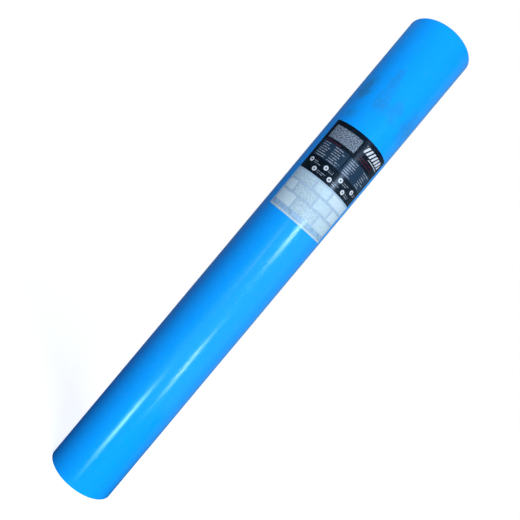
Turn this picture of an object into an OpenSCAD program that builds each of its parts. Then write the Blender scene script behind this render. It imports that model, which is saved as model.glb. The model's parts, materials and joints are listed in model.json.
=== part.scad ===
// Roll of vapour barrier membrane, standing on one end.
// A long thin sheet is folded down its centre and wound tightly on itself. Its turns show on
// both ends as rings, and a printed label is stuck round the side, near the top.
// The origin is the centre of the bottom end. +Z runs up the roll, and the label faces -Y.

/* [Roll] */
// Length of the roll, which is the width of the folded sheet
roll_length = 1000; // [500:10:1500]
// Outer diameter of the wound roll
roll_diameter = 128; // [95:1:200]
// Diameter of the hole that the winding bar leaves
bore_diameter = 50; // [25:1:76]
// Width of the bevel where the outermost turn meets each end
edge_bevel = 0.6; // [0.2:0.1:2]

/* [Winding] */
// Thickness of the sheet
sheet_thickness = 0.2; // [0.1:0.05:0.3]
// Layers of sheet in one turn
layers_per_turn = 2; // [1:1:4]
// Turns that stand flush with each other, from one sunk ring to the next
turns_per_band = 8; // [4:1:16]
// Turns that sink between two bands
turns_sunk = 2; // [1:1:3]
// How far the sunk turns lie below the ends
ring_depth = 0.6; // [0.2:0.1:2]

/* [Label] */
// Width of the label, measured round the roll
label_width = 134; // [60:1:230]
// Height of the label, along the roll
label_height = 187; // [60:1:300]
// From the top end of the roll down to the label
label_drop = 231; // [10:1:240]
// Thickness of the label
label_thickness = 0.2; // [0.1:0.05:0.5]
// Thickness of the adhesive between the label and the roll
adhesive_gap = 0.05; // [0.02:0.01:0.1]

/* [Hidden] */
$fn = 128;
membrane_color = [0.05, 0.65, 0.98];
label_color = [0.78, 0.88, 0.95];

roll_r = roll_diameter / 2;
bore_r = bore_diameter / 2;
turn_thickness = sheet_thickness * layers_per_turn;
band_pitch = turns_per_band * turn_thickness;
ring_width = turns_sunk * turn_thickness;
ring_count = floor((roll_r - edge_bevel - ring_width - bore_r) / band_pitch);

label_inner_r = roll_r + adhesive_gap;
label_angle = 360 * label_width / (2 * PI * label_inner_r);
label_bottom = roll_length - label_drop - label_height;
front_angle = -90;

// Outline of one end from the bore out, as [radius, depth below the end]: a flat band, then a sunk ring.
function end_outline() = [
    [bore_r, 0],
    for (ring = [1 : ring_count])
        let (outer = bore_r + ring * band_pitch, inner = outer - ring_width)
            each [[inner, 0], [(inner + outer) / 2, ring_depth], [outer, 0]],
    [roll_r - edge_bevel, 0],
    [roll_r, edge_bevel]
];

// The same outline read from the outside in
function reversed(points) = [for (i = [len(points) - 1 : -1 : 0]) points[i]];

// The wound sheet, as one turned solid with its bore
module membrane_roll() {
    bottom = [for (p = end_outline()) [p[0], p[1]]];
    top = [for (p = reversed(end_outline())) [p[0], roll_length - p[1]]];
    color(membrane_color)
        rotate_extrude()
            polygon(concat(bottom, top));
}

// The printed label, curved round the front of the roll
module label() {
    color(label_color)
        rotate([0, 0, front_angle - label_angle / 2])
            rotate_extrude(angle = label_angle)
                translate([label_inner_r, label_bottom])
                    square([label_thickness, label_height]);
}

membrane_roll();
label();
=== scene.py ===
"""Dresses the roll of vapour barrier membrane: the wound sheet, its printed label, and a plain studio."""
import json
from math import asin, ceil, cos, pi, radians, sin, tau

import bmesh
import bpy
from bpy.props import FloatProperty, FloatVectorProperty, IntProperty, PointerProperty
from mathutils import Matrix, Vector, noise


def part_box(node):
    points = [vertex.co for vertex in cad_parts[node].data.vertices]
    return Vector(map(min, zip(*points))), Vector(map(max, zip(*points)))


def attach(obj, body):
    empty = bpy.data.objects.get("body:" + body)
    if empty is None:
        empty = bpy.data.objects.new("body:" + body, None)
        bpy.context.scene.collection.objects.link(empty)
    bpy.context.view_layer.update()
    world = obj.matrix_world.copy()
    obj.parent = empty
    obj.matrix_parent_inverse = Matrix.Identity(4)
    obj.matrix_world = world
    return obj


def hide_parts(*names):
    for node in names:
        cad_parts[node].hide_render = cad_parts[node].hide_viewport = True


bl_info = {
    "name": "Membrane roll",
    "version": (1, 0, 0),
    "blender": (4, 5, 0),
    "location": "3D View > Sidebar > Roll",
    "description": "Builds a wound roll of plastic sheet with a printed label",
    "category": "Object",
}

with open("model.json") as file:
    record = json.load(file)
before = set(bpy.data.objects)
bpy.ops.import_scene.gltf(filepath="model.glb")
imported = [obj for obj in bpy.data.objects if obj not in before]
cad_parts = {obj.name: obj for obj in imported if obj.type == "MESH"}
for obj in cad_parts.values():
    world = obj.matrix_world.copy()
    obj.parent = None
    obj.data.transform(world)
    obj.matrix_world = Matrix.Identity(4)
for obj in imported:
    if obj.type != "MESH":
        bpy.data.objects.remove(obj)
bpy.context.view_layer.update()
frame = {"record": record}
ROLL_LOW, ROLL_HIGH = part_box("membrane_roll")
LABEL_LOW, LABEL_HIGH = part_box("label")
MOUNTS = {mount["name"]: mount for mount in frame["record"]["mounts"]}

MILLIMETRE = 0.001
ROLL_RADIUS = ROLL_HIGH.x
ROLL_LENGTH = ROLL_HIGH.z - ROLL_LOW.z
BORE_RADIUS = MOUNTS["bore"]["dims"]["r_mm"] * MILLIMETRE
LABEL_FRONT = radians(-90)
LABEL_SPAN = 2 * asin(LABEL_HIGH.x / -LABEL_LOW.y)
SHARP_ANGLE = radians(40)


# ---------------------------------------------------------------- settings

# What a thin length and a colour have in common
THIN = {"unit": "LENGTH", "precision": 5}
COLOR = {"size": 3, "subtype": "COLOR"}


class SheetSettings(bpy.types.PropertyGroup):
    turn_thickness: FloatProperty(
        name="Turn thickness", description="Thickness of one turn, which is two layers of the folded sheet",
        default=0.4 * MILLIMETRE, **THIN)
    air_gap: FloatProperty(
        name="Air gap", description="Air between one turn and the next", default=0.03 * MILLIMETRE, **THIN)
    columns_per_turn: IntProperty(
        name="Columns in a turn", description="Straight steps in each buried turn", default=96)
    outer_columns: IntProperty(
        name="Columns in the outer turn", description="Straight steps round the turn that shows",
        default=144)
    outer_rows: IntProperty(
        name="Rows in the outer turn", description="Rows of faces up the turn that shows", default=150)
    overlap: FloatProperty(
        name="Overlap", description="Turns by which the outer turn runs past a full circle", default=0.04)
    free_edge: FloatProperty(
        name="Free edge", description="Where round the roll the sheet ends",
        default=radians(100), subtype="ANGLE")
    cut_wander: FloatProperty(
        name="Cut wander", description="How far the hand-cut free edge strays from a straight line",
        default=1.8 * MILLIMETRE, **THIN)
    edge_lift: FloatProperty(
        name="Edge lift", description="How far the free edge springs off the roll",
        default=0.35 * MILLIMETRE, **THIN)
    lift_reach: FloatProperty(
        name="Lift reach", description="Turns over which the free edge springs up", default=0.05)
    end_wander: FloatProperty(
        name="End wander", description="How far a turn may stand back from the roll's end",
        default=1.6 * MILLIMETRE, **THIN)
    slack: FloatProperty(
        name="Slack", description="How deep the outer turn's slow waves are",
        default=0.16 * MILLIMETRE, **THIN)
    film_color: FloatVectorProperty(
        name="Sheet colour", description="Blue of the plastic sheet", default=(0.0015, 0.345, 1.0), **COLOR)
    edge_color: FloatVectorProperty(
        name="Edge colour", description="Deeper blue of the sheet seen on its cut edges",
        default=(0.003, 0.17, 0.62), **COLOR)
    smear_color: FloatVectorProperty(
        name="Smear colour", description="Dull tone of the handling marks",
        default=(0.014, 0.235, 0.58), **COLOR)
    scuff_color: FloatVectorProperty(
        name="Scuff colour", description="Paler blue of the hairline scuffs",
        default=(0.1, 0.5, 1.0), **COLOR)
    dust_color: FloatVectorProperty(
        name="Dust colour", description="Greyer blue of dust on the cut edges",
        default=(0.1, 0.4, 0.7), **COLOR)


class LabelSettings(bpy.types.PropertyGroup):
    thickness: FloatProperty(
        name="Thickness", description="Thickness of the label", default=0.2 * MILLIMETRE, **THIN)
    glue: FloatProperty(
        name="Glue", description="Thickness of the glue under the label", default=0.02 * MILLIMETRE, **THIN)
    columns: IntProperty(name="Columns", description="Straight steps across the label", default=72)
    rows: IntProperty(name="Rows", description="Rows of faces up the label", default=60)
    foot_bow: FloatProperty(
        name="Foot bow", description="How far the corners of the lower edge ride up",
        default=4 * MILLIMETRE, **THIN)
    corner_lift: FloatProperty(
        name="Corner lift", description="How far the upper left corner rides up",
        default=2.5 * MILLIMETRE, **THIN)
    ink_color: FloatVectorProperty(
        name="Ink", description="Blue-black of the upper panel", default=(0.002, 0.006, 0.013), **COLOR)
    slate_color: FloatVectorProperty(
        name="Slate", description="Blue-grey of the two tables", default=(0.014, 0.036, 0.068), **COLOR)
    swatch_dark: FloatVectorProperty(
        name="Swatch, dark", description="Darker tone of the flecked swatch",
        default=(0.04, 0.06, 0.09), **COLOR)
    swatch_light: FloatVectorProperty(
        name="Swatch, light", description="Lighter tone of the flecked swatch",
        default=(0.24, 0.31, 0.39), **COLOR)
    tile_color: FloatVectorProperty(
        name="Tile", description="Pale blue of the printed tiles", default=(0.44, 0.61, 0.69), **COLOR)
    light_tile_color: FloatVectorProperty(
        name="Light tile", description="Paler blue that every third tile leans to",
        default=(0.62, 0.76, 0.83), **COLOR)
    joint_color: FloatVectorProperty(
        name="Joint", description="Greyer blue between the tiles", default=(0.325, 0.47, 0.6), **COLOR)
    ground_color: FloatVectorProperty(
        name="Ground", description="Clouded grey-blue under the tiles",
        default=(0.24, 0.395, 0.545), **COLOR)
    red_color: FloatVectorProperty(
        name="Red", description="Dim red of the lesser rows", default=(0.14, 0.017, 0.032), **COLOR)
    white_color: FloatVectorProperty(
        name="White", description="White of the stripes and the discs", default=(0.55, 0.63, 0.7), **COLOR)
    row_color: FloatVectorProperty(
        name="Fine rows", description="Their grey-white", default=(0.28, 0.34, 0.4), **COLOR)


class StageSettings(bpy.types.PropertyGroup):
    camera_distance: FloatProperty(
        name="Camera distance", description="From the camera to the roll's axis",
        default=0.905, unit="LENGTH")
    camera_height: FloatProperty(
        name="Camera height", description="Height of the camera above the floor",
        default=0.442, unit="LENGTH")
    camera_azimuth: FloatProperty(
        name="Camera azimuth", description="How far the camera stands to the left of the label's middle",
        default=radians(-6.55), subtype="ANGLE")
    camera_roll: FloatProperty(
        name="Camera roll", description="How far the camera is turned about its own line of sight",
        default=radians(39.88), subtype="ANGLE")
    lens: FloatProperty(
        name="Lens", description="Focal length of the camera in millimetres", default=34.74)
    lens_shift: FloatVectorProperty(
        name="Lens shift", description="Shift of the view, in widths of its frame",
        default=(0.04, 0.0475), size=2)
    ambient: FloatProperty(
        name="Ambient", description="Strength of the light that reaches the roll from all round",
        default=0.26)
    ambient_tint: FloatVectorProperty(
        name="Ambient tint", description="Cool tint of that light", default=(0.53, 0.62, 1.0), **COLOR)
    drape_tint: FloatVectorProperty(
        name="Drape tint", description="Cool tint of the drapes that show in the gloss",
        default=(1.0, 1.59, 2.06), size=3)


# ---------------------------------------------------------------- node helpers

def wire(tree, node, inputs):
    """Links or sets the inputs of a node."""
    for name, value in inputs.items():
        if isinstance(value, bpy.types.NodeSocket):
            tree.links.new(value, node.inputs[name])
        else:
            node.inputs[name].default_value = value


def put(tree, kind, inputs=None, **settings):
    """Adds a node, sets its properties, and links or sets its inputs."""
    made = tree.nodes.new(kind)
    for name, value in settings.items():
        setattr(made, name, value)
    wire(tree, made, inputs or {})
    return made


def calc(tree, operation, *values):
    """A Math node's result."""
    return put(tree, "ShaderNodeMath", dict(enumerate(values)), operation=operation).outputs["Value"]


def vector_calc(tree, operation, *values):
    """A Vector Math node's vector."""
    return put(tree, "ShaderNodeVectorMath", dict(enumerate(values)), operation=operation).outputs["Vector"]


def scale_vector(tree, vector, factor):
    """A vector or colour times a number."""
    inputs = {0: vector, "Scale": factor}
    return put(tree, "ShaderNodeVectorMath", inputs, operation="SCALE").outputs["Vector"]


def vector_length(tree, vector):
    """The length of a vector."""
    return put(tree, "ShaderNodeVectorMath", {0: vector}, operation="LENGTH").outputs["Value"]


def split(tree, vector):
    """A vector's X, Y and Z."""
    return put(tree, "ShaderNodeSeparateXYZ", {0: vector}).outputs


def join(tree, x, y):
    """A level vector with this X and Y."""
    return put(tree, "ShaderNodeCombineXYZ", {"X": x, "Y": y}).outputs["Vector"]


def stretch(tree, vector, scale):
    """A vector times a scale along each axis."""
    return put(tree, "ShaderNodeMapping", {"Vector": vector, "Scale": scale}).outputs["Vector"]


def noise_value(tree, vector, scale, detail, roughness=0.5, flat=False):
    """A noise texture's value, which a flat one takes from X and Y alone."""
    inputs = {"Vector": vector, "Scale": scale, "Detail": detail, "Roughness": roughness}
    return put(tree, "ShaderNodeTexNoise", inputs, noise_dimensions="2D" if flat else "3D").outputs["Fac"]


def smooth_range(tree, value, low, high):
    """0 below low and 1 above high, with a smooth step between them."""
    inputs = {"Value": value, "From Min": low, "From Max": high}
    return put(tree, "ShaderNodeMapRange", inputs, interpolation_type="SMOOTHSTEP").outputs["Result"]


def mix_color(tree, factor, first, second):
    """A colour between two others."""
    made = put(tree, "ShaderNodeMix", data_type="RGBA")
    for socket, value in (("Factor_Float", factor), ("A_Color", first), ("B_Color", second)):
        target = next(item for item in made.inputs if item.identifier == socket)
        if isinstance(value, bpy.types.NodeSocket):
            tree.links.new(value, target)
        elif socket == "Factor_Float":
            target.default_value = value
        else:
            target.default_value = (*value, 1)
    return next(item for item in made.outputs if item.identifier == "Result_Color")


def strongest(tree, masks):
    """The strongest of several masks."""
    total = masks[0]
    for mask in masks[1:]:
        total = calc(tree, "MAXIMUM", total, mask)
    return total


def object_place(tree):
    """Where a point lies in its object's own space."""
    return put(tree, "ShaderNodeTexCoord").outputs["Object"]


def mapped_place(tree, name):
    """Where a point lies in its piece's own UV map."""
    return put(tree, "ShaderNodeUVMap", uv_map=name).outputs["UV"]


def bumped_normal(tree, height, strength, distance):
    """The normal of a surface with this fine relief."""
    inputs = {"Height": height, "Strength": strength, "Distance": distance}
    return put(tree, "ShaderNodeBump", inputs).outputs["Normal"]


def new_material(name):
    """A new material, its node tree and its shader."""
    material = bpy.data.materials.new(name)
    material.use_nodes = True
    return material, material.node_tree, material.node_tree.nodes["Principled BSDF"]


def begin_group(name, inputs, outputs):
    """An empty shader group with its named sockets."""
    tree = bpy.data.node_groups.new(name, "ShaderNodeTree")
    kinds = {"value": "NodeSocketFloat", "vector": "NodeSocketVector"}
    for socket, kind in inputs.items():
        tree.interface.new_socket(socket, in_out="INPUT", socket_type=kinds[kind])
    for socket, kind in outputs.items():
        tree.interface.new_socket(socket, in_out="OUTPUT", socket_type=kinds[kind])
    return tree, tree.nodes.new("NodeGroupInput").outputs, tree.nodes.new("NodeGroupOutput").inputs


def use_group(tree, name, inputs):
    """Places a shared group, which is built when it is first used, and gives its outputs."""
    if name not in bpy.data.node_groups:
        SHARED_GROUPS[name](name)
    return put(tree, "ShaderNodeGroup", inputs, node_tree=bpy.data.node_groups[name]).outputs


# ---------------------------------------------------------------- shared effects

def make_grain_group(name):
    """Fine unevenness of a rolled surface, as a height."""
    tree, given, result = begin_group(
        name, {"Vector": "vector", "Scale": "value", "Amount": "value"}, {"Height": "value"})
    fine = noise_value(tree, given["Vector"], given["Scale"], 3.0)
    tree.links.new(calc(tree, "MULTIPLY", fine, given["Amount"]), result["Height"])


def make_dust_group(name):
    """Specks and faint scuffs, as a mask."""
    tree, given, result = begin_group(
        name, {"Vector": "vector", "Scale": "value", "Amount": "value"}, {"Mask": "value"})
    cloud = noise_value(tree, given["Vector"], given["Scale"], 5.0, roughness=0.65)
    mask = smooth_range(tree, cloud, 0.52, 0.78)
    tree.links.new(calc(tree, "MULTIPLY", mask, given["Amount"]), result["Mask"])


def make_scuff_group(name):
    """Sparse hairline scuffs that all lie one way, as a mask. Size is the length and width of a scuff."""
    tree, given, result = begin_group(
        name, {"Vector": "vector", "Slant": "vector", "Size": "vector"}, {"Mask": "value"})
    inputs = {"Vector": given["Vector"], "Rotation": given["Slant"], "Scale": given["Size"]}
    laid = put(tree, "ShaderNodeMapping", inputs, vector_type="TEXTURE").outputs["Vector"]
    hairs = smooth_range(tree, noise_value(tree, laid, 1.0, 2.0, flat=True), 0.62, 0.72)
    rubbed = smooth_range(tree, noise_value(tree, laid, 0.06, 1.0, flat=True), 0.4, 0.65)
    tree.links.new(calc(tree, "MULTIPLY", hairs, rubbed), result["Mask"])


def make_patch_group(name):
    """A soft oval patch with a ragged rim, as a mask."""
    tree, given, result = begin_group(
        name, {"Vector": "vector", "Centre": "vector", "Size": "vector"}, {"Mask": "value"})
    offset = vector_calc(tree, "SUBTRACT", given["Vector"], given["Centre"])
    reach = vector_length(tree, vector_calc(tree, "DIVIDE", offset, given["Size"]))
    ragged = noise_value(tree, given["Vector"], 70.0, 4.0)
    edge = calc(tree, "MULTIPLY_ADD", ragged, 1.5, calc(tree, "SUBTRACT", 0.1, reach))
    tree.links.new(smooth_range(tree, edge, -0.15, 0.65), result["Mask"])


def make_box_group(name):
    """An upright printed rectangle, as a mask that is full this far inside its sides."""
    tree, given, result = begin_group(
        name, {"Point": "vector", "Low": "vector", "High": "vector", "Softness": "value"}, {"Mask": "value"})
    above = vector_calc(tree, "SUBTRACT", given["Point"], given["Low"])
    below = vector_calc(tree, "SUBTRACT", given["High"], given["Point"])
    inside = split(tree, vector_calc(tree, "MINIMUM", above, below))
    depth = calc(tree, "MINIMUM", inside["X"], inside["Y"])
    tree.links.new(smooth_range(tree, depth, 0.0, given["Softness"]), result["Mask"])


# A row of dashes: its height as a share of the pitch, how often its dashes break, and its least length
DASH_HEIGHT = 0.32
DASHES_PER_MILLIMETRE, DASH_BREAK = 0.42, 0.38
SHORTEST_ROW = 0.45
ROW_SEED_STEP = 17.3


def make_rows_group(name):
    """Rows of short printed dashes of uneven length, as a mask."""
    inputs = {"Point": "vector", "Low": "vector", "High": "vector", "Pitch": "value", "Seed": "value"}
    tree, given, result = begin_group(name, inputs, {"Mask": "value"})
    corners = {key: given[key] for key in ("Point", "Low", "High")}
    box = use_group(tree, "Printed box", {**corners, "Softness": 0.1})["Mask"]
    spot = split(tree, vector_calc(tree, "SUBTRACT", given["Point"], given["Low"]))
    row = calc(tree, "DIVIDE", spot["Y"], given["Pitch"])
    line = calc(tree, "LESS_THAN", calc(tree, "FRACT", row), DASH_HEIGHT)
    row_seed = calc(tree, "MULTIPLY_ADD", calc(tree, "FLOOR", row), ROW_SEED_STEP, given["Seed"])
    where = join(tree, calc(tree, "MULTIPLY", spot["X"], DASHES_PER_MILLIMETRE), row_seed)
    dash = calc(tree, "GREATER_THAN", noise_value(tree, where, 1.0, 0.0, flat=True), DASH_BREAK)
    width = split(tree, vector_calc(tree, "SUBTRACT", given["High"], given["Low"]))["X"]
    chance = put(tree, "ShaderNodeTexWhiteNoise", {"W": row_seed}, noise_dimensions="1D").outputs["Value"]
    share = calc(tree, "MULTIPLY_ADD", chance, 1 - SHORTEST_ROW, SHORTEST_ROW)
    short = calc(tree, "LESS_THAN", spot["X"], calc(tree, "MULTIPLY", width, share))
    mask = calc(tree, "MULTIPLY", calc(tree, "MULTIPLY", box, line), calc(tree, "MULTIPLY", dash, short))
    tree.links.new(mask, result["Mask"])


def make_ring_group(name):
    """A printed ring or disc, as a mask."""
    inputs = {"Point": "vector", "Centre": "vector", "Outer": "value", "Inner": "value"}
    tree, given, result = begin_group(name, inputs, {"Mask": "value"})
    reach = vector_length(tree, vector_calc(tree, "SUBTRACT", given["Point"], given["Centre"]))
    inside = calc(tree, "LESS_THAN", reach, given["Outer"])
    hollow = calc(tree, "GREATER_THAN", reach, given["Inner"])
    tree.links.new(calc(tree, "MULTIPLY", inside, hollow), result["Mask"])


def make_window_group(name):
    """A soft-edged panel in the surroundings, placed by degrees round the roll and by slope, as a colour."""
    values = ("Azimuth", "Slope", "Turn", "Lean", "Width", "Side Softness", "Middle", "Foot",
              "Foot Softness", "Head", "Head Softness")
    inputs = {**{key: "value" for key in values}, "Tint": "vector"}
    tree, given, result = begin_group(name, inputs, {"Glow": "vector"})
    above = calc(tree, "SUBTRACT", given["Slope"], given["Middle"])
    centre = calc(tree, "MULTIPLY_ADD", above, given["Lean"], given["Turn"])
    turned = calc(tree, "WRAP", calc(tree, "SUBTRACT", given["Azimuth"], centre), 180.0, -180.0)
    within = calc(tree, "SUBTRACT", given["Width"], calc(tree, "ABSOLUTE", turned))
    over_foot = calc(tree, "SUBTRACT", given["Slope"], given["Foot"])
    under_head = calc(tree, "SUBTRACT", given["Head"], given["Slope"])
    across = smooth_range(tree, within, 0.0, given["Side Softness"])
    lower = smooth_range(tree, over_foot, 0.0, given["Foot Softness"])
    upper = smooth_range(tree, under_head, 0.0, given["Head Softness"])
    mask = calc(tree, "MULTIPLY", across, calc(tree, "MULTIPLY", lower, upper))
    tree.links.new(scale_vector(tree, given["Tint"], mask), result["Glow"])


SHARED_GROUPS = {
    "Fine grain": make_grain_group,
    "Dust and scuffs": make_dust_group,
    "Hairline scuffs": make_scuff_group,
    "Soft patch": make_patch_group,
    "Printed box": make_box_group,
    "Printed rows": make_rows_group,
    "Printed ring": make_ring_group,
    "Soft window": make_window_group,
}


def scuff_mask(tree, metres, kinds):
    """Hairline scuffs that lie several ways. Each kind is a slant, then a length and width in metres."""
    masks = []
    for slant, (length, width) in kinds:
        inputs = {"Vector": metres, "Slant": (0, 0, slant), "Size": (length, width, 1)}
        masks.append(use_group(tree, "Hairline scuffs", inputs)["Mask"])
    return strongest(tree, masks)


# ---------------------------------------------------------------- the sheet's materials

# Fine scuffs in the film, how much they show, and how much they and the smears dull it
FILM_SCUFFS = ((0.5, (0.012, 0.0007)), (-0.9, (0.008, 0.0005)), (1.45, (0.02, 0.0006)))
FILM_SCUFF_STRENGTH = 0.16
FILM_ROUGHNESS, FILM_WEAR = 0.17, 0.08
# The film's deepest tone as a share of its colour, and how far the tone leans to it
FILM_DEEPEST, FILM_TONE = 0.93, 0.35
EDGE_ROUGHNESS = 0.42
# Each smear: degrees round the roll from the middle of the view, height, half width, half height, strength
SMEARS = (
    (-50, 0.842, 0.018, 0.034, 0.95),
    (-42, 0.790, 0.016, 0.012, 0.4),
    (-17, 0.872, 0.014, 0.036, 0.56),
    (-11, 0.834, 0.021, 0.036, 0.64),
    (13, 0.834, 0.018, 0.034, 0.56),
    (50, 0.836, 0.026, 0.038, 0.65),
)


def smear_mask(tree, place):
    """The handling marks above the label, put together from soft patches."""
    stage = bpy.context.scene.stage_settings
    patches = []
    for turn, height, width, tall, strength in SMEARS:
        centre = place_round(stage, turn, ROLL_RADIUS, height)
        inputs = {"Vector": place, "Centre": centre, "Size": (width, width, tall)}
        patches.append(calc(tree, "MULTIPLY", use_group(tree, "Soft patch", inputs)["Mask"], strength))
    blotches = smooth_range(tree, noise_value(tree, place, 130.0, 3.0), -0.1, 0.62)
    return calc(tree, "MULTIPLY", strongest(tree, patches), blotches)


def film_material():
    """The sheet's broad face: smooth, saturated, softly glossy plastic."""
    settings = bpy.context.scene.sheet_settings
    material, tree, shader = new_material("blue film")
    sheet = mapped_place(tree, "sheet")
    place = object_place(tree)
    scuffs = scuff_mask(tree, stretch(tree, sheet, (sheet_length(settings), ROLL_LENGTH, 1.0)), FILM_SCUFFS)
    smear = smear_mask(tree, place)
    dust = use_group(tree, "Dust and scuffs", {"Vector": place, "Scale": 90.0, "Amount": 0.02})["Mask"]

    tone = calc(tree, "MULTIPLY", noise_value(tree, place, 5.0, 2.0), FILM_TONE)
    deepest = tuple(channel * FILM_DEEPEST for channel in settings.film_color)
    color = mix_color(tree, tone, settings.film_color, deepest)
    color = mix_color(tree, smear, color, settings.smear_color)
    scuffed = calc(tree, "MULTIPLY", scuffs, FILM_SCUFF_STRENGTH)
    color = mix_color(tree, scuffed, color, settings.scuff_color)

    along = stretch(tree, sheet, (24.0, 60.0, 1.0))
    lines = use_group(tree, "Fine grain", {"Vector": along, "Scale": 5.0, "Amount": 0.6})["Height"]
    pits = use_group(tree, "Fine grain", {"Vector": place, "Scale": 900.0, "Amount": 0.4})["Height"]
    normal = bumped_normal(tree, calc(tree, "ADD", lines, pits), 0.02, MILLIMETRE)
    smeared = calc(tree, "MULTIPLY_ADD", smear, FILM_WEAR, FILM_ROUGHNESS)
    rough = calc(tree, "ADD", calc(tree, "MULTIPLY_ADD", scuffs, FILM_WEAR, smeared), dust)
    wire(tree, shader, {"Base Color": color, "Roughness": rough, "Normal": normal, "Specular IOR Level": 0.5})
    return material


def film_edge_material():
    """The sheet's cut edges, where the stacked turns look deeper and vary from turn to turn."""
    settings = bpy.context.scene.sheet_settings
    material, tree, shader = new_material("cut film edge")
    place = object_place(tree)
    turns = stretch(tree, mapped_place(tree, "sheet"), (260.0, 0.0, 0.0))
    band = smooth_range(tree, noise_value(tree, turns, 1.0, 3.0), 0.35, 0.65)
    dust = use_group(tree, "Dust and scuffs", {"Vector": place, "Scale": 60.0, "Amount": 0.35})["Mask"]
    color = mix_color(tree, band, settings.edge_color, settings.film_color)
    color = mix_color(tree, dust, color, settings.dust_color)
    grain = use_group(tree, "Fine grain", {"Vector": place, "Scale": 700.0, "Amount": 1.0})["Height"]
    normal = bumped_normal(tree, grain, 0.15, 0.4 * MILLIMETRE)
    rough = calc(tree, "ADD", dust, EDGE_ROUGHNESS)
    wire(tree, shader, {"Base Color": color, "Roughness": rough, "Normal": normal, "Specular IOR Level": 0.3})
    return material


# ---------------------------------------------------------------- the wound sheet

def ripple(x, y, z=0.0):
    """Smooth unevenness about 0 at this place, between about -1 and 1."""
    return noise.noise(Vector((x, y, z)))


def clamp(value, low=0.0, high=1.0):
    """A value kept between two others."""
    return min(max(value, low), high)


def slow_wave(angle, height):
    """Depth of the outer turn's unevenness, from 0 to 1: faint bands round the roll and broad dips."""
    bands = ripple(height * 11.0, 3.7)
    dips = ripple(cos(angle) * 0.9, sin(angle) * 0.9, height * 5.0)
    return clamp(0.5 + 0.6 * bands + 0.5 * dips)


def end_shift(turn):
    """How far a turn has wandered along the roll, from 0 to 1."""
    slow = ripple(turn * 0.09, 0.4)
    quick = ripple(turn * 0.43, 7.1)
    single = ripple(turn * 1.9, 2.6)
    return clamp(0.5 + 0.55 * slow + 0.45 * quick + 0.3 * single)


def flat_sheet(columns, rows):
    """A flat slab of sheet in a unit square: X along it, Y across it, Z 0 on its outer face and 1 inside.

    Rolling it up turns it over, since Z then runs towards the axis, so its faces start turned inwards.
    """
    bm = bmesh.new()
    bmesh.ops.create_grid(bm, x_segments=columns, y_segments=rows, size=0.5)
    bmesh.ops.translate(bm, verts=bm.verts, vec=(0.5, 0.5, 0.0))
    inner = bmesh.ops.extrude_face_region(bm, geom=bm.faces[:])["geom"]
    raised = [item for item in inner if isinstance(item, bmesh.types.BMVert)]
    bmesh.ops.translate(bm, verts=raised, vec=(0, 0, 1))
    bmesh.ops.recalc_face_normals(bm, faces=bm.faces)
    bmesh.ops.reverse_faces(bm, faces=bm.faces)
    return bm


def count_turns(settings):
    """Turns from the bore out, with room left for the slack in the outer one."""
    return (ROLL_RADIUS - settings.slack - BORE_RADIUS) / (settings.turn_thickness + settings.air_gap) - 1


def sheet_length(settings):
    """Length of sheet in the roll, taking each turn to be as long as the outer one."""
    return count_turns(settings) * tau * ROLL_RADIUS


def sheet_radius(settings, turn, depth):
    """Radius of the sheet at this turn, where depth is 0 on its outer face and 1 on its inner."""
    pitch = settings.turn_thickness + settings.air_gap
    return BORE_RADIUS + pitch * turn + settings.turn_thickness * (1 - depth)


def slack_depth(settings, angle, height):
    """How far the outer turn stands off the turns under it."""
    return settings.slack * (1 - slow_wave(angle, height))


def cut_shift(settings, across):
    """Turns by which the sheet's free edge falls short at this share of its width."""
    stray = ripple(across * 3.0, 5.3) + 0.3 * ripple(across * 17.0, 1.9)
    return settings.cut_wander * (1 + stray) / (tau * ROLL_RADIUS)


def edge_spring(settings, turns_left, across):
    """How far the sheet springs up this many turns before its free edge."""
    near = max(1 - turns_left / settings.lift_reach, 0.0)
    uneven = clamp(0.6 + ripple(across * 6.0, 8.2), low=0.1)
    return settings.edge_lift * uneven * near ** 2


def outer_face(settings, angle, height):
    """Radius of the roll's outer face at this angle and height."""
    behind = ((settings.free_edge - angle) % tau) / tau
    return sheet_radius(settings, count_turns(settings) - behind, 0) + slack_depth(settings, angle, height)


def wind(bm, first_turn, last_turn, loose):
    """Rolls a flat slab up from first_turn to last_turn, and maps where each point lies on the sheet."""
    settings = bpy.context.scene.sheet_settings
    turns = count_turns(settings)
    width = ROLL_LENGTH - settings.end_wander
    spots = bm.loops.layers.uv.new("sheet")
    for face in bm.faces:
        for loop in face.loops:
            spot = loop.vert.co
            turn = first_turn + (last_turn - first_turn) * spot.x
            loop[spots].uv = (turn / turns, spot.y)
    for vert in bm.verts:
        across = vert.co.y
        end = last_turn - (cut_shift(settings, across) if loose else 0)
        turn = first_turn + (end - first_turn) * vert.co.x
        angle = settings.free_edge + tau * (turn - turns)
        height = ROLL_LOW.z + settings.end_wander * end_shift(turn) + width * across
        radius = sheet_radius(settings, turn, vert.co.z)
        if loose:
            radius += slack_depth(settings, angle, height) + edge_spring(settings, end - turn, across)
        vert.co = (radius * cos(angle), radius * sin(angle), height)
    bm.normal_update()


def finish_mesh(bm, name, materials):
    """Makes an object at the origin from a bmesh, smooth except along its sharp edges."""
    for face in bm.faces:
        face.smooth = True
    for edge in bm.edges:
        edge.smooth = edge.calc_face_angle(0.0) < SHARP_ANGLE
    mesh = bpy.data.meshes.new(name)
    bm.to_mesh(mesh)
    bm.free()
    for material in materials:
        mesh.materials.append(material)
    made = bpy.data.objects.new(name, mesh)
    bpy.context.scene.collection.objects.link(made)
    return made


def mark_cut_edges(bm):
    """Gives the faces on the sheet's ends the second material."""
    for face in bm.faces:
        face.material_index = int(abs(face.normal.z) > 0.7)


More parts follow.
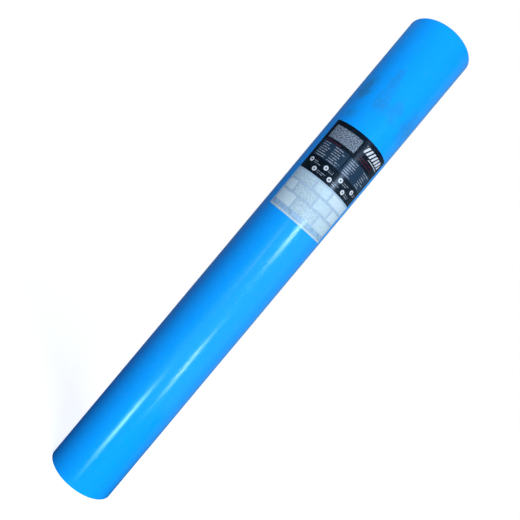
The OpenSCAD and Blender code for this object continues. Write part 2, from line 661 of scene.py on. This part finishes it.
class ROLL_OT_wound_sheet(bpy.types.Operator):
    """Winds the folded sheet into the roll, turn by turn"""
    bl_idname = "roll.wound_sheet"
    bl_label = "Wound sheet"

    def execute(self, context):
        settings = context.scene.sheet_settings
        turns = count_turns(settings)
        outer_start = turns - 1 - settings.overlap
        buried = flat_sheet(ceil(outer_start * settings.columns_per_turn), 1)
        wind(buried, 0.0, outer_start, loose=False)
        outer = flat_sheet(ceil((turns - outer_start) * settings.outer_columns), settings.outer_rows)
        wind(outer, outer_start, turns, loose=True)
        shell = bpy.data.meshes.new("outer turn")
        outer.to_mesh(shell)
        outer.free()
        buried.from_mesh(shell)
        bpy.data.meshes.remove(shell)
        mark_cut_edges(buried)
        roll = finish_mesh(buried, "wound_sheet", [film_material(), film_edge_material()])
        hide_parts("membrane_roll")
        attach(roll, "root")
        return {"FINISHED"}


# ---------------------------------------------------------------- the label

# The print's layout, in millimetres from the label's lower left corner
PRINT_WIDTH, PRINT_HEIGHT = 134.0, 187.0
PANEL_SPLIT = 82.5
FOOT_MARGIN, SIDE_MARGIN, MARGIN_SOFTNESS = 3.0, 0.8, 1.0
CRISP = 0.15
JOINT_SOFTNESS = 2.4
GROUND_HEAD, GROUND_SOFTNESS = 13.0, 4.0
# How far a mask reaches past the label's edge, so that its own soft edge doesn't show
OVERSHOOT = 9.0
STRIPE_PITCH, STRIPE_SHARE, STRIPE_SLANT = 7.6, 0.6, 0.5
DISC_OUTER, DISC_INNER = 4.4, 1.5
DISCS = ((13, 103.5), (46, 103.5), (79, 103.5), (112, 103.5), (29.5, 91.5), (62.5, 91.5), (95.5, 91.5))
# Each box: left, foot, right, head
SWATCH = (8, 152, 66, 178)
STRIPES = (77, 165, 127, 178)
BAR = (94, 161, 127, 162.4)
TABLES = ((6, 113, 64, 145), (66, 113, 128, 145))
# Rows of tiles: foot, head, and where the joints between the tiles lie
TILE_ROWS = (
    (12, 36, (1, 41, 90, 133)),
    (38.5, 59, (1, 25, 68, 104, 133)),
    (61.5, 80, (1, 50, 84, 133)),
)
# Rows of dashes: box, pitch, seed
RED_ROWS = (
    ((77, 155.5, 127, 158), 2.6, 5.0),
    ((77, 150.5, 127, 153), 2.6, 31.0),
    ((8, 146.6, 66, 149.2), 2.6, 61.0),
)
FINE_ROWS = (
    ((10, 115, 32, 143), 4.4, 3.0),
    ((36, 115, 60, 143), 4.4, 19.0),
    ((70, 115, 98, 143), 4.4, 47.0),
    ((104, 115, 125, 143), 4.4, 83.0),
)
# The rows beside a disc: from its middle to their left and right, half their height, pitch
CAPTION_LEFT, CAPTION_RIGHT, CAPTION_HALF, CAPTION_PITCH = 6.5, 24, 3, 3.4
CAPTION_MARGIN = 3
# Fine scuffs in the label, and how much they show
LABEL_SCUFFS = ((0.8, (0.011, 0.0005)), (-0.3, (0.016, 0.0004)))
LABEL_SCUFF_STRENGTH = 0.06
PAPER_ROUGHNESS, TILE_DULLNESS = 0.2, 0.2


def printed_box(tree, point, box, softness=CRISP):
    """The mask of a printed rectangle."""
    left, foot, right, head = box
    inputs = {"Point": point, "Low": (left, foot, -1), "High": (right, head, 1), "Softness": softness}
    return use_group(tree, "Printed box", inputs)["Mask"]


def printed_rows(tree, point, box, pitch, seed):
    """The mask of rows of printed dashes."""
    left, foot, right, head = box
    inputs = {"Point": point, "Low": (left, foot, -1), "High": (right, head, 1), "Pitch": pitch, "Seed": seed}
    return use_group(tree, "Printed rows", inputs)["Mask"]


def printed_ring(tree, point, x, y):
    """The mask of a printed disc with a hole in it."""
    inputs = {"Point": point, "Centre": (x, y, 0), "Outer": DISC_OUTER, "Inner": DISC_INNER}
    return use_group(tree, "Printed ring", inputs)["Mask"]


def clouded(tree, cloudy, shade, lift):
    """A printed colour that varies from a little darker than itself to this many times itself."""
    darker = tuple(channel * 0.96 for channel in shade)
    return mix_color(tree, cloudy, darker, tuple(channel * lift for channel in shade))


def lower_panel(tree, point):
    """The soft-edged tiles and the clouded ground under them, as a colour."""
    settings = bpy.context.scene.label_settings
    cloudy = smooth_range(tree, noise_value(tree, point, 0.16, 4.0, roughness=0.6), 0.35, 0.7)
    tile = clouded(tree, cloudy, settings.tile_color, 1.08)
    joint = clouded(tree, cloudy, settings.joint_color, 1.1)
    ground = clouded(tree, cloudy, settings.ground_color, 1.4)
    over_ground = (-OVERSHOOT, GROUND_HEAD, PRINT_WIDTH + OVERSHOOT, PRINT_HEIGHT)
    color = mix_color(tree, printed_box(tree, point, over_ground, GROUND_SOFTNESS), ground, joint)
    tiles = [printed_box(tree, point, (left + 1, foot, right - 1, head), JOINT_SOFTNESS)
             for foot, head, joints in TILE_ROWS for left, right in zip(joints, joints[1:])]
    color = mix_color(tree, strongest(tree, tiles), color, tile)
    light_tiles = calc(tree, "MULTIPLY", strongest(tree, tiles[::3]), 0.35)
    color = mix_color(tree, light_tiles, color, settings.light_tile_color)
    dark_tiles = strongest(tree, tiles[1::3])
    color = mix_color(tree, calc(tree, "MULTIPLY", dark_tiles, 0.15), color, settings.joint_color)
    cells = put(tree, "ShaderNodeTexVoronoi", {"Vector": point, "Scale": 0.28}, voronoi_dimensions="2D")
    chips = calc(tree, "LESS_THAN", cells.outputs["Distance"], 0.17)
    chipped = calc(tree, "MULTIPLY", calc(tree, "MULTIPLY", chips, dark_tiles), 0.6)
    color = mix_color(tree, chipped, color, settings.slate_color)
    within = (SIDE_MARGIN, FOOT_MARGIN, PRINT_WIDTH, PRINT_HEIGHT)
    return mix_color(tree, printed_box(tree, point, within, MARGIN_SOFTNESS), settings.tile_color, color)


def upper_panel(tree, point, lower):
    """The blue-black panel with its print, laid over the lower panel, as a colour."""
    settings = bpy.context.scene.label_settings
    panel = printed_box(tree, point, (-1, PANEL_SPLIT, PRINT_WIDTH + 1, PRINT_HEIGHT + 1))
    color = mix_color(tree, panel, lower, settings.ink_color)
    table = strongest(tree, [printed_box(tree, point, box) for box in TABLES])
    color = mix_color(tree, table, color, settings.slate_color)
    fleck = smooth_range(tree, noise_value(tree, point, 0.5, 3.0), 0.42, 0.56)
    swatch = mix_color(tree, fleck, settings.swatch_dark, settings.swatch_light)
    color = mix_color(tree, printed_box(tree, point, SWATCH), color, swatch)
    red = strongest(tree, [printed_rows(tree, point, *rows) for rows in RED_ROWS])
    color = mix_color(tree, red, color, settings.red_color)
    # Slanted stripes over a thin bar, and discs
    spot = split(tree, point)
    slanted = calc(tree, "MULTIPLY_ADD", spot["Y"], -STRIPE_SLANT, spot["X"])
    along = calc(tree, "FRACT", calc(tree, "DIVIDE", slanted, STRIPE_PITCH))
    stripe = calc(tree, "LESS_THAN", along, STRIPE_SHARE)
    white = [calc(tree, "MULTIPLY", printed_box(tree, point, STRIPES), stripe), printed_box(tree, point, BAR)]
    white += [printed_ring(tree, point, x, y) for x, y in DISCS]
    color = mix_color(tree, strongest(tree, white), color, settings.white_color)
    # Fine rows in the table and beside the discs
    fine = [printed_rows(tree, point, *rows) for rows in FINE_ROWS]
    for x, y in DISCS:
        right = min(x + CAPTION_RIGHT, PRINT_WIDTH - CAPTION_MARGIN)
        caption = (x + CAPTION_LEFT, y - CAPTION_HALF, right, y + CAPTION_HALF)
        fine.append(printed_rows(tree, point, caption, CAPTION_PITCH, x))
    return mix_color(tree, strongest(tree, fine), color, settings.row_color)


def label_material():
    """Coated paper with its printing."""
    settings = bpy.context.scene.label_settings
    material, tree, shader = new_material("printed paper")
    point = stretch(tree, mapped_place(tree, "print"), (PRINT_WIDTH, PRINT_HEIGHT, 1.0))
    place = object_place(tree)
    color = upper_panel(tree, point, lower_panel(tree, point))
    scuffs = scuff_mask(tree, scale_vector(tree, point, MILLIMETRE), LABEL_SCUFFS)
    scuffed = calc(tree, "MULTIPLY", scuffs, LABEL_SCUFF_STRENGTH)
    color = mix_color(tree, scuffed, color, settings.white_color)
    dust = use_group(tree, "Dust and scuffs", {"Vector": place, "Scale": 50.0, "Amount": 0.08})["Mask"]
    grain = use_group(tree, "Fine grain", {"Vector": place, "Scale": 600.0, "Amount": 1.0})["Height"]
    normal = bumped_normal(tree, grain, 0.05, 0.3 * MILLIMETRE)
    picture = (-OVERSHOOT, GROUND_HEAD, PRINT_WIDTH + OVERSHOOT, PANEL_SPLIT)
    dull = printed_box(tree, point, picture, GROUND_SOFTNESS)
    rough = calc(tree, "ADD", dust, calc(tree, "MULTIPLY_ADD", dull, TILE_DULLNESS, PAPER_ROUGHNESS))
    wire(tree, shader, {"Base Color": color, "Roughness": rough, "Normal": normal, "Specular IOR Level": 0.27})
    return material


def label_bow(settings, across, up):
    """How far the label, stuck on by hand, rides up its roll at this share of its width and height."""
    edge = 2 * across - 1
    return settings.foot_bow * (1 - up) * edge ** 2 + settings.corner_lift * up * min(edge, 0.0) ** 2


class ROLL_OT_printed_label(bpy.types.Operator):
    """Curves the printed label round the roll"""
    bl_idname = "roll.printed_label"
    bl_label = "Printed label"

    def execute(self, context):
        settings = context.scene.label_settings
        sheet = context.scene.sheet_settings
        bm = flat_sheet(settings.columns, settings.rows)
        spots = bm.loops.layers.uv.new("print")
        for face in bm.faces:
            for loop in face.loops:
                loop[spots].uv = loop.vert.co.xy
        for vert in bm.verts:
            across, up, depth = vert.co
            angle = LABEL_FRONT + LABEL_SPAN * (across - 0.5)
            height = LABEL_LOW.z + (LABEL_HIGH.z - LABEL_LOW.z) * up + label_bow(settings, across, up)
            radius = outer_face(sheet, angle, height) + settings.glue + settings.thickness * (1 - depth)
            vert.co = (radius * cos(angle), radius * sin(angle), height)
        bm.normal_update()
        label = finish_mesh(bm, "printed_label", [label_material()])
        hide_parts("label")
        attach(label, "root")
        return {"FINISHED"}


# ---------------------------------------------------------------- the studio

def view_angle(settings, turn=0.0):
    """The angle round the roll that lies this many degrees to the right of the camera."""
    return LABEL_FRONT + settings.camera_azimuth + radians(turn)


def place_round(settings, turn, distance, height):
    """A place at a turn from the camera, at a distance from the roll's axis."""
    angle = view_angle(settings, turn)
    return Vector((distance * cos(angle), distance * sin(angle), height))


def add_camera(settings):
    """The camera, which looks level at the roll and is turned about its own line of sight."""
    data = bpy.data.cameras.new("camera")
    data.lens = settings.lens
    data.sensor_width = 36.0
    data.shift_x, data.shift_y = settings.lens_shift
    camera = bpy.data.objects.new("camera", data)
    bpy.context.scene.collection.objects.link(camera)
    place = place_round(settings, 0.0, settings.camera_distance, settings.camera_height)
    facing = Matrix.Rotation(settings.camera_azimuth, 4, "Z") @ Matrix.Rotation(radians(90), 4, "X")
    turn = Matrix.Rotation(settings.camera_roll, 4, "Z")
    camera.matrix_world = Matrix.Translation(place) @ facing @ turn
    bpy.context.scene.camera = camera


def add_lamp(name, place, target, size, radiance):
    """A rectangular lamp that faces the target, with this radiance on its face and no glare."""
    width, height = size
    data = bpy.data.lights.new(name, "AREA")
    data.shape = "RECTANGLE"
    data.size, data.size_y = width, height
    data.energy = radiance * pi * width * height
    data.cycles.use_multiple_importance_sampling = False
    lamp = bpy.data.objects.new(name, data)
    bpy.context.scene.collection.objects.link(lamp)
    back = (place - target).normalized()
    side = Vector((0, 0, 1)).cross(back).normalized()
    facing = Matrix((side, back.cross(side), back)).transposed().to_4x4()
    lamp.matrix_world = Matrix.Translation(place) @ facing
    lamp.visible_camera = lamp.visible_glossy = False
    return lamp


def all_but(spared):
    """A list of what a lamp lights, which is everything but this object."""
    listed = bpy.data.collections.new("all but " + spared.name)
    listed.objects.link(spared)
    listed.collection_objects[0].light_linking.link_state = "EXCLUDE"
    return listed


# Broad soft lamps: name, degrees round the roll from the camera, distance, height, size, radiance.
# The floor lets them through, so that the low ones light the foot of the roll.
SOFT_LAMPS = (
    ("upper key", 28, 1.4, 1.1, (0.7, 0.6), 12.2),
    ("lower key", 28, 1.4, -0.5, (0.7, 0.6), 4.8),
    ("low fill", 10, 1.0, -0.3, (0.5, 0.4), 8.6),
    ("upper left fill", -55, 0.4, 1.2, (0.3, 0.3), 3.3),
    ("back", -165, 1.6, 0.5, (1.2, 1.4), 4.0),
)
# Lamps that would burn the floor out, because they stand close over it
OFF_THE_FLOOR = ("back",)


def seen_directly(tree):
    """1 on the rays that show the background: straight from the camera, or by way of gloss or glass."""
    path = tree.nodes.new("ShaderNodeLightPath").outputs
    return strongest(tree, [path["Is Camera Ray"], path["Is Glossy Ray"], path["Is Transmission Ray"]])


def add_world(settings):
    """White to the eye, and a dim cool light to the roll."""
    world = bpy.data.worlds.new("studio")
    world.use_nodes = True
    tree = world.node_tree
    direct = seen_directly(tree)
    color = mix_color(tree, direct, settings.ambient_tint, (1, 1, 1))
    strength = calc(tree, "MAXIMUM", direct, settings.ambient)
    wire(tree, tree.nodes["Background"], {"Color": color, "Strength": strength})
    bpy.context.scene.world = world


# What shows in the gloss. Each panel: degrees round the roll from the camera at its middle slope, degrees
# of lean for each unit of slope, half width, softness of its sides, middle slope, slope and softness of its
# foot, slope and softness of its head, glow
PANEL_INPUTS = ("Turn", "Lean", "Width", "Side Softness", "Middle", "Foot", "Foot Softness", "Head",
                "Head Softness", "Tint")
WINDOWS = {
    "upper right": (29.0, 0, 9.6, 8.0, 0.206, 0.05, 0.13, 0.325, 0.08, (17.6, 24.2, 33.0)),
    "lower right": (35.7, 0, 8.2, 7.0, -0.187, -0.267, 0.08, -0.107, 0.08, (15.2, 23.1, 31.5)),
    "lower left": (-2.8, 19.6, 7.6, 6.0, -0.354, -0.439, 0.05, -0.269, 0.05, (13, 26, 32)),
    "upper left": (-7.4, -29, 5.6, 4.0, 0.08, -0.03, 0.07, 0.19, 0.07, (1.2, 1.7, 2.3)),
    "back": (181, 0, 6.0, 5.0, 0.12, -0.33, 0.2, 0.57, 0.2, (9, 13, 18)),
}
WALLS = {
    "front right": (36, 0, 66, 20, 0.0, -0.33, 0.06, 0.33, 0.06, (0.34, 0.54, 0.7)),
    "back right": (137, 0, 50, 14, 0.3, -0.55, 0.3, 1.15, 0.3, (0.16, 0.25, 0.3)),
    "back left": (-150, 0, 60, 30, 0.4, -0.35, 0.35, 1.15, 0.35, (0.05, 0.08, 0.1)),
}
# The drapes' glow low down, how much it gains with slope, and the slopes between which it does
DRAPE_LOW, DRAPE_GAIN = 0.02, 0.035
DRAPE_FOOT, DRAPE_HEAD = -0.45, -0.15
DOME_RADIUS = 6.0
# The screen beside the roll: degrees round the roll, distance, heights and columns of faces
FLAG_START, FLAG_END = 50, 74
FLAG_DISTANCE = 0.13
FLAG_FOOT, FLAG_HEAD = -0.3, 1.4
FLAG_COLUMNS = 12


def glow_of(tree, panels, azimuth, slope):
    """The light of several panels together."""
    total = None
    for panel in panels.values():
        inputs = {"Azimuth": azimuth, "Slope": slope, **dict(zip(PANEL_INPUTS, panel))}
        glow = use_group(tree, "Soft window", inputs)["Glow"]
        total = glow if total is None else vector_calc(tree, "ADD", total, glow)
    return total


def drape_material(settings, name, panels):
    """A dim surface with these panels in it, placed by where it stands round the roll.

    Its slope is that of the line which runs from the camera to the roll and on to it, unfolded.
    """
    material, tree, shader = new_material(name)
    turned = {"Vector": object_place(tree), "Rotation": (0, 0, -view_angle(settings))}
    spot = split(tree, put(tree, "ShaderNodeMapping", turned).outputs["Vector"])
    azimuth = calc(tree, "DEGREES", calc(tree, "ARCTAN2", spot["Y"], spot["X"]))
    reach = vector_length(tree, join(tree, spot["X"], spot["Y"]))
    to_roll = settings.camera_distance - 2 * ROLL_RADIUS
    rise = calc(tree, "SUBTRACT", spot["Z"], settings.camera_height)
    slope = calc(tree, "DIVIDE", rise, calc(tree, "ADD", reach, to_roll))
    high = smooth_range(tree, slope, DRAPE_FOOT, DRAPE_HEAD)
    level = calc(tree, "MULTIPLY_ADD", high, DRAPE_GAIN, DRAPE_LOW)
    drapes = scale_vector(tree, settings.drape_tint, level)
    glow = vector_calc(tree, "ADD", drapes, glow_of(tree, panels, azimuth, slope))
    wire(tree, shader, {"Base Color": (0, 0, 0, 1), "Specular IOR Level": 0.0, "Emission Strength": 1.0,
                        "Emission Color": glow})
    return material


def hang(bm, name, material):
    """Stands a piece of the surroundings where only gloss shows it."""
    piece = finish_mesh(bm, name, [material])
    piece.visible_camera = piece.visible_diffuse = piece.visible_shadow = False


def add_dome(settings):
    """The surroundings that show in the gloss alone: dim drapes with soft windows and walls in them."""
    bm = bmesh.new()
    bmesh.ops.create_icosphere(bm, subdivisions=4, radius=DOME_RADIUS)
    hang(bm, "studio_drapes", drape_material(settings, "dim drapes", {**WALLS, **WINDOWS}))


def add_flag(settings):
    """A screen as bright as the wall behind it, which keeps the right windows off the back's rim."""
    bm = bmesh.new()
    bmesh.ops.create_grid(bm, x_segments=FLAG_COLUMNS, y_segments=1, size=0.5)
    for vert in bm.verts:
        turn = FLAG_START + (FLAG_END - FLAG_START) * (vert.co.x + 0.5)
        height = FLAG_FOOT + (FLAG_HEAD - FLAG_FOOT) * (vert.co.y + 0.5)
        vert.co = place_round(settings, turn, FLAG_DISTANCE, height)
    hang(bm, "studio_flag", drape_material(settings, "flag", WALLS))


# The floor's own glow, with what the lamps add, comes to about white: from near the roll to far from it
FLOOR_RADIUS = 5.0
GLOW_START, GLOW_END = 0.3, 2.0
GLOW_NEAR, GLOW_FAR = 0.77, 0.91


def add_floor():
    """A pale floor that keeps the roll's shadow, lets lamps through, and doesn't show in the gloss."""
    bm = bmesh.new()
    bmesh.ops.create_circle(bm, cap_ends=True, segments=64, radius=FLOOR_RADIUS)
    material, tree, shader = new_material("studio floor")
    reach = vector_length(tree, object_place(tree))
    inputs = {"Value": reach, "From Min": GLOW_START, "From Max": GLOW_END, "To Min": GLOW_NEAR,
              "To Max": GLOW_FAR}
    glow = put(tree, "ShaderNodeMapRange", inputs).outputs["Result"]
    strength = calc(tree, "MULTIPLY", seen_directly(tree), glow)
    wire(tree, shader, {"Base Color": (0.8, 0.8, 0.8, 1), "Roughness": 0.9, "Specular IOR Level": 0.0,
                        "Emission Color": (1, 1, 1, 1), "Emission Strength": strength})
    floor = finish_mesh(bm, "studio_floor", [material])
    floor.visible_diffuse = floor.visible_glossy = floor.visible_shadow = False
    return floor


class ROLL_OT_studio(bpy.types.Operator):
    """Sets up the floor, the lamps, the world and the camera"""
    bl_idname = "roll.studio"
    bl_label = "Studio"

    def execute(self, context):
        settings = context.scene.stage_settings
        add_camera(settings)
        add_world(settings)
        add_dome(settings)
        add_flag(settings)
        lit = all_but(add_floor())
        middle = Vector((0, 0, ROLL_LENGTH / 2))
        for name, turn, distance, height, size, radiance in SOFT_LAMPS:
            lamp = add_lamp(name, place_round(settings, turn, distance, height), middle, size, radiance)
            if name in OFF_THE_FLOOR:
                lamp.light_linking.receiver_collection = lit
        context.scene.view_settings.view_transform = "Standard"
        return {"FINISHED"}


class ROLL_PT_panel(bpy.types.Panel):
    """Lists what can be built"""
    bl_idname = "ROLL_PT_panel"
    bl_label = "Membrane roll"
    bl_space_type = "VIEW_3D"
    bl_region_type = "UI"
    bl_category = "Roll"

    def draw(self, context):
        for operator in OPERATORS:
            self.layout.operator(operator.bl_idname)
        for name in SETTINGS:
            group = getattr(context.scene, name)
            for item in group.bl_rna.properties:
                if item.identifier not in ("rna_type", "name"):
                    self.layout.prop(group, item.identifier)


SETTINGS = {
    "sheet_settings": SheetSettings,
    "label_settings": LabelSettings,
    "stage_settings": StageSettings,
}
OPERATORS = (ROLL_OT_studio, ROLL_OT_wound_sheet, ROLL_OT_printed_label)


def register():
    """Adds the settings, the operators and the panel to Blender."""
    for item in (*SETTINGS.values(), *OPERATORS, ROLL_PT_panel):
        bpy.utils.register_class(item)
    for name, item in SETTINGS.items():
        setattr(bpy.types.Scene, name, PointerProperty(type=item))


def unregister():
    """Takes them out again."""
    for name in SETTINGS:
        delattr(bpy.types.Scene, name)
    for item in (ROLL_PT_panel, *reversed(OPERATORS), *reversed(tuple(SETTINGS.values()))):
        bpy.utils.unregister_class(item)


def main():
    """Builds the whole scene."""
    register()
    bpy.ops.roll.studio()
    bpy.ops.roll.wound_sheet()
    bpy.ops.roll.printed_label()


if __name__ == "__main__":
    main()
